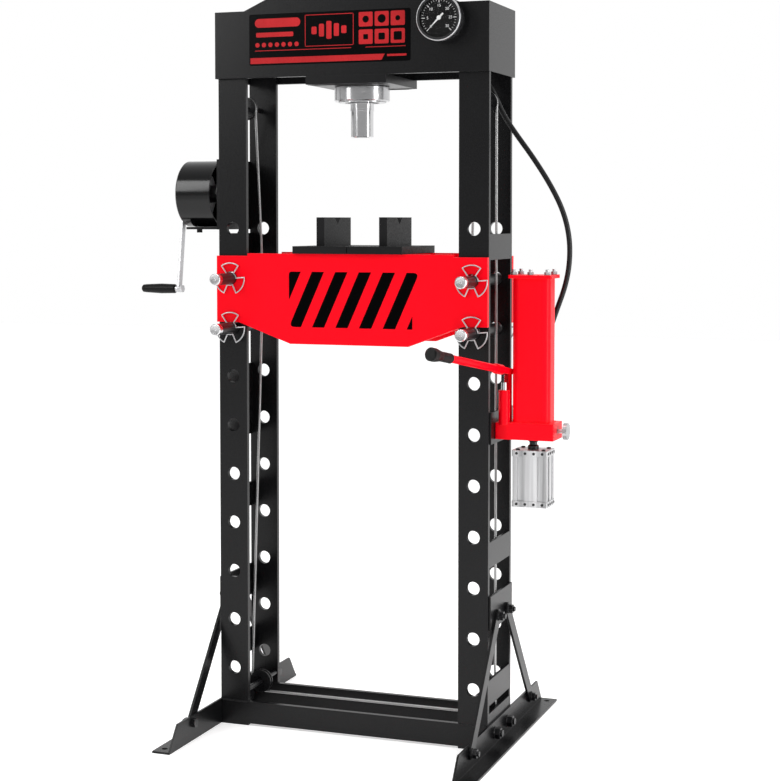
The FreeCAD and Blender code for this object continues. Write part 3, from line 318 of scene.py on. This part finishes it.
HOSE_ROUTE = [
    (80, 0, 1650), (140, 4, 1653), (200, 14, 1645), (256, 27, 1617), (296, 34, 1578), (316, 36, 1542),
    (338, 37, 1492), (366, 39, 1450), (412, 42, 1388), (454, 46, 1322), (483, 50, 1262), (497, 53, 1202),
    (497, 56, 1142), (486, 58, 1086), (466, 59, 1032), (446, 58, 975), (435, 52, 915), (432, 43, 856),
    (432, 37, 797),
]
HOSE_DIAMETER = 0.0125


def make_hose():
    curve = bpy.data.curves.new("oil_hose", "CURVE")
    curve.dimensions = "3D"
    curve.bevel_depth = HOSE_DIAMETER / 2
    curve.bevel_resolution = 6
    curve.resolution_u = 12
    spline = curve.splines.new("NURBS")
    spline.points.add(len(HOSE_ROUTE) - 1)
    for knot, place in zip(spline.points, HOSE_ROUTE):
        knot.co = (*point(*place), 1.0)
    spline.order_u = 3
    spline.use_endpoint_u = True
    hose = new_piece("oil_hose", curve, "hose_rubber")
    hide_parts("hose")


CORNER_STEPS = 5


def rounded_outline(x0, z0, x1, z1, radius):
    corners = ((x1 - radius, z1 - radius, 0), (x0 + radius, z1 - radius, 90),
               (x0 + radius, z0 + radius, 180), (x1 - radius, z0 + radius, 270))
    outline = []
    for x, z, start in corners:
        for step in range(CORNER_STEPS + 1):
            turn = math.radians(start + 90 * step / CORNER_STEPS)
            outline.append((x + radius * math.cos(turn), z + radius * math.sin(turn)))
    return outline


def close_between(bm, first, second):
    """Adds both end faces and the sides between two outlines of as many points."""
    bm.faces.new(first)
    bm.faces.new(second)
    count = len(first)
    for i in range(count):
        after = (i + 1) % count
        bm.faces.new((first[i], first[after], second[after], second[i]))


def prism(bm, outline, back, front):
    """Adds a closed sheet between two depths, from an outline seen from the front."""
    rings = []
    for y in (back, front):
        rings.append([bm.verts.new(point(x, y, z)) for x, z in outline])
    close_between(bm, *rings)


def turned(bm, profile, segments, centre, axes, closed=False):
    """Adds a turned surface from (radius, distance along the axis) pairs.

    axes holds the turning axis and the two directions across it."""
    axis, side, up = axes
    rings = []
    for i in range(segments):
        turn = 2 * math.pi * i / segments
        spoke = side * math.cos(turn) + up * math.sin(turn)
        rings.append([bm.verts.new(centre + spoke * radius + axis * along) for radius, along in profile])
    count = len(profile)
    for i in range(segments):
        here, after = rings[i], rings[(i + 1) % segments]
        for k in range(count if closed else count - 1):
            following = (k + 1) % count
            bm.faces.new((here[k], here[following], after[following], after[k]))


PANEL = (-255, 1613, 156, 1735)
PANEL_CORNER = 5
HEAD_FACE = -108.0
PANEL_FRONT = -108.5
PRINT_FRONT = -108.7
MARK_FRONT = -108.8
PANEL_BARS = ((-240, 1703, -122, 1724, 10), (-237, 1680, -140, 1691, 3),
              (-240, 1647, 8, 1648.5, 0.6), (44, 1647, 144, 1648.5, 0.6), (98, 1625, 146, 1630, 1))
PANEL_WEDGE = ((-252, 1617), (84, 1617), (92, 1631), (-252, 1631))
DOT_COUNT = 7
DOT_LEFT = -239
DOT_LOW = 1656
DOT_SIZE = 11
DOT_PITCH = 17
DOT_CORNER = 5.3
BOX = (-110, 1654, 14, 1729)
BOX_LINE = 1.6
BOX_CORNER = 2
METER_HEIGHTS = (18, 30, 42, 30, 18)
METER_LEFT = -93
METER_MIDDLE = 1691.5
METER_WIDTH = 13
METER_PITCH = 19
METER_CORNER = 3
FIELD_LEFT = 27
FIELD_LOW = 1655
FIELD_SIZE = (35, 34)
FIELD_PITCH = (40, 41)
FIELD_CORNER = 3
FIELD_COLUMNS = 3
MARK_ROUNDING = (0.3, 0.98)


def print_on_panel(bm, x0, z0, x1, z1, radius):
    prism(bm, rounded_outline(x0, z0, x1, z1, radius), PANEL_FRONT, PRINT_FRONT)


def outlined(bm, x0, z0, x1, z1, radius, line):
    """Adds a plain frame of one line width, as four overlapping rounded bars."""
    for bar in ((x0, z0, x1, z0 + line), (x0, z1 - line, x1, z1),
                (x0, z0, x0 + line, z1), (x1 - line, z0, x1, z1)):
        print_on_panel(bm, *bar, min(radius, line * 0.45))


def make_panel_bars():
    bm = bmesh.new()
    for bar in PANEL_BARS:
        print_on_panel(bm, *bar)
    for i in range(DOT_COUNT):
        left = DOT_LEFT + DOT_PITCH * i
        print_on_panel(bm, left, DOT_LOW, left + DOT_SIZE, DOT_LOW + DOT_SIZE, DOT_CORNER)
    prism(bm, PANEL_WEDGE, PANEL_FRONT, PRINT_FRONT)
    new_piece("panel_bars", finish_mesh("panel_bars", bm), "panel_red")


def make_panel_box():
    """A framed box with five upright bars of different heights."""
    bm = bmesh.new()
    outlined(bm, *BOX, BOX_CORNER, BOX_LINE)
    for i, height in enumerate(METER_HEIGHTS):
        left = METER_LEFT + METER_PITCH * i
        print_on_panel(bm, left, METER_MIDDLE - height / 2, left + METER_WIDTH,
                       METER_MIDDLE + height / 2, METER_CORNER)
    new_piece("panel_box", finish_mesh("panel_box", bm), "panel_red")


def make_panel_fields():
    """Two rows of red fields, each with a plain dark mark in its middle."""
    fields = bmesh.new()
    marks = bmesh.new()
    width, height = FIELD_SIZE
    for column in range(FIELD_COLUMNS):
        for row, rounding in enumerate(MARK_ROUNDING):
            left = FIELD_LEFT + FIELD_PITCH[0] * column
            low = FIELD_LOW + FIELD_PITCH[1] * row
            print_on_panel(fields, left, low, left + width, low + height, FIELD_CORNER)
            reach = 6 + 2 * ((column + row) % 3)
            x = left + width / 2
            z = low + height / 2
            prism(marks, rounded_outline(x - reach, z - reach, x + reach, z + reach, reach * rounding),
                  PRINT_FRONT, MARK_FRONT)
    new_piece("panel_fields", finish_mesh("panel_fields", fields), "panel_red")
    new_piece("panel_marks", finish_mesh("panel_marks", marks), "panel_film")


def make_panel():
    """The black panel on the head, with plain bars and fields in place of any print."""
    bm = bmesh.new()
    prism(bm, rounded_outline(*PANEL, PANEL_CORNER), HEAD_FACE, PANEL_FRONT)
    new_piece("head_panel", finish_mesh("head_panel", bm), "panel_film")
    make_panel_bars()
    make_panel_box()
    make_panel_fields()


STRIPE_FRONT = -109.2
BED_FRONT = -109.0
STRIPE_LEFT = -153
STRIPE_RIGHT = 161
STRIPE_TOP = 1119
STRIPE_LOW = 986
STRIPE_WIDE = 31
STRIPE_LEAN = 60
STRIPE_PITCH = 60
STRIPE_ROUND = 10
STRIPE_COUNT = 5


def round_corner(before, corner, after, radius):
    """Points of a smooth bend that rounds one corner of an outline."""
    into = (Vector(before) - Vector(corner)).normalized()
    out = (Vector(after) - Vector(corner)).normalized()
    half = into.angle(out) / 2
    reach = radius / math.tan(half)
    start = Vector(corner) + into * reach
    end = Vector(corner) + out * reach
    control = Vector(corner)
    bend = []
    for step in range(CORNER_STEPS + 1):
        share = step / CORNER_STEPS
        place = start * (1 - share) ** 2 + control * 2 * share * (1 - share) + end * share ** 2
        bend.append(tuple(place))
    return bend


def make_stripes():
    """Black leaning bars printed on the bed's front plate, clipped to one field."""
    bm = bmesh.new()
    for i in range(STRIPE_COUNT):
        foot = STRIPE_LEFT + STRIPE_PITCH * i
        corners = [(foot, STRIPE_LOW), (foot + STRIPE_WIDE, STRIPE_LOW),
                   (foot + STRIPE_WIDE + STRIPE_LEAN, STRIPE_TOP), (foot + STRIPE_LEAN, STRIPE_TOP)]
        outline = []
        for k, corner in enumerate(corners):
            outer = (i == 0 and k == 0) or (i == STRIPE_COUNT - 1 and k == 2)
            if outer:
                outline += round_corner(corners[k - 1], corner, corners[(k + 1) % 4], STRIPE_ROUND)
            else:
                outline.append(corner)
        prism(bm, outline, BED_FRONT, STRIPE_FRONT)
    left_top = STRIPE_LEFT + STRIPE_WIDE + STRIPE_LEAN - STRIPE_PITCH
    slope = (STRIPE_TOP - STRIPE_LOW) / STRIPE_LEAN
    drop = (left_top - STRIPE_LEFT) * slope
    corner_bend = round_corner((STRIPE_LEFT, STRIPE_TOP - drop), (STRIPE_LEFT, STRIPE_TOP),
                               (left_top, STRIPE_TOP), STRIPE_ROUND * 0.8)
    prism(bm, [(STRIPE_LEFT, STRIPE_TOP - drop)] + corner_bend + [(left_top, STRIPE_TOP)],
          BED_FRONT, STRIPE_FRONT)
    foot = STRIPE_LEFT + STRIPE_PITCH * STRIPE_COUNT
    rise = (STRIPE_RIGHT - foot) * slope
    prism(bm, [(foot, STRIPE_LOW), (STRIPE_RIGHT, STRIPE_LOW), (STRIPE_RIGHT, STRIPE_LOW + rise)],
          BED_FRONT, STRIPE_FRONT)
    new_piece("bed_stripes", finish_mesh("bed_stripes", bm), "stripe_ink")


PIN_CAP_SEGMENTS = 48
FRONT_AXES = (Vector((0, 1, 0)), Vector((0, 0, 1)), Vector((1, 0, 0)))
SAME_PLACE = 1e-6


def pin_end_profile(radius):
    """A shallow centre mark, a slightly hollow face and a thin skirt over the pin's end."""
    return [(0, -0.0012), (0.0025, -0.0012), (0.003, -0.0003), (radius * 0.6, -0.0005),
            (radius * 0.85, -0.0008), (radius - 0.001, -0.0002), (radius + 0.0002, 0.0012),
            (radius + 0.0002, 0.016), (radius - 0.0004, 0.0162)]


def make_pin_ends():
    """A bright turned face on the front end of each cross pin."""
    for side in ("left", "right"):
        for level in ("upper", "lower"):
            name = "pin_%s_%s" % (side, level)
            low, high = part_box(name)
            middle = (low + high) / 2
            radius = (high.x - low.x) / 2
            bm = bmesh.new()
            turned(bm, pin_end_profile(radius), PIN_CAP_SEGMENTS, Vector((middle.x, low.y, middle.z)),
                   FRONT_AXES)
            bmesh.ops.remove_doubles(bm, verts=bm.verts, dist=SAME_PLACE)
            mesh = finish_mesh(name + "_end", bm)
            new_piece(name + "_end", mesh, "bright_steel", body=name + "_body")


DIAL_SWEEP = 270
DIAL_STEPS = 30
DIAL_LIFT = 0.0001
MAJOR_EVERY = 5
MAJOR_TICK = (0.72, 0.0008)
MINOR_TICK = (0.80, 0.0004)
TICK_OUTER = 0.88
NUMBER_COUNT = 7
NUMBER_STEP = 5
NUMBER_SIZE = 0.0092
NUMBER_REACH = 0.58


def needle_rest(centre):
    """The turn, clockwise from straight up, at which the needle's tip stands at rest."""
    far = max(NODES["gauge_needle"].data.vertices,
              key=lambda v: (v.co.x - centre.x) ** 2 + (v.co.z - centre.z) ** 2)
    return math.atan2(far.co.x - centre.x, far.co.z - centre.z)


def dial_direction(start, share):
    """The direction from the dial's centre at a share of its sweep."""
    turn = start + math.radians(DIAL_SWEEP * share)
    return Vector((math.sin(turn), 0, math.cos(turn)))


def make_ticks(centre, radius, face_y, start):
    bm = bmesh.new()
    for step in range(DIAL_STEPS + 1):
        outward = dial_direction(start, step / DIAL_STEPS)
        across = Vector((outward.z, 0, -outward.x))
        inner, half = MAJOR_TICK if step % MAJOR_EVERY == 0 else MINOR_TICK
        corners = []
        for reach, side in ((inner, -1), (TICK_OUTER, -1), (TICK_OUTER, 1), (inner, 1)):
            corners.append(centre + outward * radius * reach + across * half * side)
        rings = []
        for y in (face_y, face_y - DIAL_LIFT):
            rings.append([bm.verts.new((c.x, y, c.z)) for c in corners])
        close_between(bm, *rings)
    new_piece("dial_ticks", finish_mesh("dial_ticks", bm), "dial_print")


def number_mesh(number):
    """A raised number in the default font, as a mesh that lies flat."""
    text = bpy.data.curves.new("number", "FONT")
    text.body = str(number * NUMBER_STEP)
    text.size = NUMBER_SIZE
    text.align_x = "CENTER"
    text.align_y = "CENTER"
    text.extrude = DIAL_LIFT / 2
    holder = bpy.data.objects.new("number", text)
    bpy.context.scene.collection.objects.link(holder)
    mesh = bpy.data.meshes.new_from_object(holder)
    bpy.data.objects.remove(holder)
    return mesh


def make_dial():
    low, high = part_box("gauge_dial")
    centre = (low + high) / 2
    radius = (high.x - low.x) / 2
    start = needle_rest(centre)
    make_ticks(centre, radius, low.y, start)
    upright = Matrix.Rotation(math.radians(90), 4, "X")
    for number in range(NUMBER_COUNT):
        outward = dial_direction(start, number / (NUMBER_COUNT - 1))
        spot = centre + outward * radius * NUMBER_REACH
        spot.y = low.y - DIAL_LIFT / 2
        mesh = number_mesh(number)
        mesh.transform(Matrix.Translation(spot) @ upright)
        new_piece("dial_number_%d" % number, mesh, "dial_print")


BEZEL_SEGMENTS = 96


def make_bezel():
    """A rolled silver rim round the gauge's glass."""
    low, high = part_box("gauge_case")
    middle = (low + high) / 2
    outer = (high.x - low.x) / 2
    profile = [(outer + 0.0002, 0.010), (outer + 0.0006, 0.008), (outer + 0.0006, 0.002),
               (outer, 0.0004), (outer - 0.0012, -0.0004), (outer - 0.0026, 0.0004),
               (outer - 0.0028, 0.0016)]
    bm = bmesh.new()
    turned(bm, profile, BEZEL_SEGMENTS, Vector((middle.x, low.y, middle.z)), FRONT_AXES, closed=True)
    new_piece("gauge_bezel", finish_mesh("gauge_bezel", bm, smooth=True), "zinc_steel")


SCREW_SEGMENTS = 20
MOTOR_CAP = 14 * MM
SIDE_SCREW = (0.0032, 0.0012)
SIDE_SCREW_SHARES = (0.14, 0.38, 0.62, 0.86)
TOP_SCREW = (0.005, 0.003)
TOP_SCREW_INSET = 0.012


def screw_head(bm, centre, outward, radius, proud):
    """Adds a socket screw's head that stands on a face, with its recess facing outward."""
    side = outward.orthogonal().normalized()
    profile = [(radius, 0.0), (radius, proud * 0.8), (radius * 0.85, proud), (radius * 0.5, proud),
               (radius * 0.45, proud * 0.3), (0.0, proud * 0.3)]
    turned(bm, profile, SCREW_SEGMENTS, centre, (outward, side, outward.cross(side)))


def make_motor_screws():
    """Small black screws in the caps of the air motor."""
    low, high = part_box("air_motor")
    bm = bmesh.new()
    for z in (high.z - MOTOR_CAP / 2, low.z + MOTOR_CAP / 2):
        for share in SIDE_SCREW_SHARES:
            x = low.x + (high.x - low.x) * share
            y = low.y + (high.y - low.y) * share
            screw_head(bm, Vector((x, low.y, z)), Vector((0, -1, 0)), *SIDE_SCREW)
            screw_head(bm, Vector((high.x, y, z)), Vector((1, 0, 0)), *SIDE_SCREW)
    for x in (low.x + TOP_SCREW_INSET, high.x - TOP_SCREW_INSET):
        for y in (low.y + TOP_SCREW_INSET, high.y - TOP_SCREW_INSET):
            screw_head(bm, Vector((x, y, high.z)), Vector((0, 0, 1)), *TOP_SCREW)
    bmesh.ops.remove_doubles(bm, verts=bm.verts, dist=SAME_PLACE)
    new_piece("motor_screws", finish_mesh("motor_screws", bm), "black_zinc")


RIPPLE_PITCH = 0.0035
BEAD_SIDES = 8
BEAD_RADIUS = 0.0022


def weld_bead(bm, start, end):
    """Adds one rippled bead along a joint line, half sunk in both plates."""
    along = end - start
    steps = max(6, int(along.length / RIPPLE_PITCH) * 4)
    axis = along.normalized()
    side = axis.orthogonal().normalized()
    up = axis.cross(side)
    rings = []
    for step in range(steps + 1):
        share = step / steps
        ripple = 0.82 + 0.18 * abs(math.sin(math.pi * share * along.length / RIPPLE_PITCH))
        taper = min(1.0, 0.3 + 8 * min(share, 1 - share))
        middle = start + along * share
        ring = []
        for k in range(BEAD_SIDES):
            turn = 2 * math.pi * k / BEAD_SIDES
            reach = BEAD_RADIUS * ripple * taper
            ring.append(bm.verts.new(middle + (side * math.cos(turn) + up * math.sin(turn)) * reach))
        rings.append(ring)
    bm.faces.new(rings[0])
    bm.faces.new(rings[-1])
    for here, after in zip(rings, rings[1:]):
        for k in range(BEAD_SIDES):
            nxt = (k + 1) % BEAD_SIDES
            bm.faces.new((here[k], here[nxt], after[nxt], after[k]))


def rectangle_beads(bm, low, high, z):
    corners = [Vector((low.x, low.y, z)), Vector((high.x, low.y, z)),
               Vector((high.x, high.y, z)), Vector((low.x, high.y, z))]
    for i in range(4):
        weld_bead(bm, corners[i], corners[(i + 1) % 4])


def make_welds():
    low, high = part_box("pump_tank")
    bm = bmesh.new()
    rectangle_beads(bm, low, high, low.z)
    new_piece("tank_welds", finish_mesh("tank_welds", bm, smooth=True), "red_paint")
    bm = bmesh.new()
    for side in ("left", "right"):
        for face, outer in (("front", 0), ("rear", 1)):
            low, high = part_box("post_%s_%s" % (side, face))
            y = (low.y, high.y)[outer]
            weld_bead(bm, Vector((low.x, y, low.z)), Vector((high.x, y, low.z)))
    low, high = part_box("cylinder_plate")
    for y in (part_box("head_front")[1].y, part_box("head_rear")[0].y):
        weld_bead(bm, Vector((low.x, y, low.z)), Vector((high.x, y, low.z)))
    new_piece("frame_welds", finish_mesh("frame_welds", bm, smooth=True), "frame_paint")


# Stage -------------------------------------------------------------------------------------------

FLOOR_REACH = 14.0


def make_floor():
    bm = bmesh.new()
    for x, y in ((-1, -1), (1, -1), (1, 1), (-1, 1)):
        bm.verts.new((x * FLOOR_REACH, y * FLOOR_REACH, 0))
    bm.faces.new(bm.verts)
    mesh = finish_mesh("floor", bm)
    mesh.materials.append(MATERIALS["floor_card"])
    floor = bpy.data.objects.new("floor", mesh)
    bpy.context.scene.collection.objects.link(floor)


LIGHT_AIM = Vector((0, 0, 0.9))
SOFT_LIGHTS = (("key", (-2.4, -3.2, 3.0), 1.0, 2.4, 60),
               ("right_wall", (3.4, -0.6, 1.5), 0.8, 2.8, 60),
               ("top", (0.2, -0.6, 4.2), 2.6, 2.6, 50))
FRONT_LEVEL = 0.42


def soft_light(name, place, width, height, watts):
    data = bpy.data.lights.new(name, "AREA")
    data.shape = "RECTANGLE"
    data.size = width
    data.size_y = height
    data.energy = watts
    light = bpy.data.objects.new(name, data)
    light.location = place
    light.rotation_euler = (LIGHT_AIM - Vector(place)).to_track_quat("-Z", "Y").to_euler()
    bpy.context.scene.collection.objects.link(light)


def make_lights():
    """A pale studio: bright behind and above, dimmer in front, with three soft boxes."""
    world = bpy.data.worlds.new("studio")
    world.use_nodes = True
    tree = world.node_tree
    background = tree.nodes["Background"]
    place = add_node(tree, "ShaderNodeTexCoord")
    axes = add_node(tree, "ShaderNodeSeparateXYZ")
    tree.links.new(place.outputs["Generated"], axes.inputs["Vector"])
    depth = remap(tree, axes.outputs["Y"], FRONT_LEVEL, 1.0, start=-0.6, end=0.5)
    tint = mixed_colour(tree, depth, (0.0, 0.0, 0.0), (1.0, 1.0, 1.0))
    tree.links.new(tint, background.inputs["Color"])
    background.inputs["Strength"].default_value = 1.0
    bpy.context.scene.world = world
    for row in SOFT_LIGHTS:
        soft_light(*row)
    bpy.context.scene.view_settings.view_transform = "Standard"


make_camera()
make_materials()
dress_nodes()
make_hose()
make_panel()
make_stripes()
make_pin_ends()
make_dial()
make_bezel()
make_motor_screws()
make_welds()
make_floor()
make_lights()
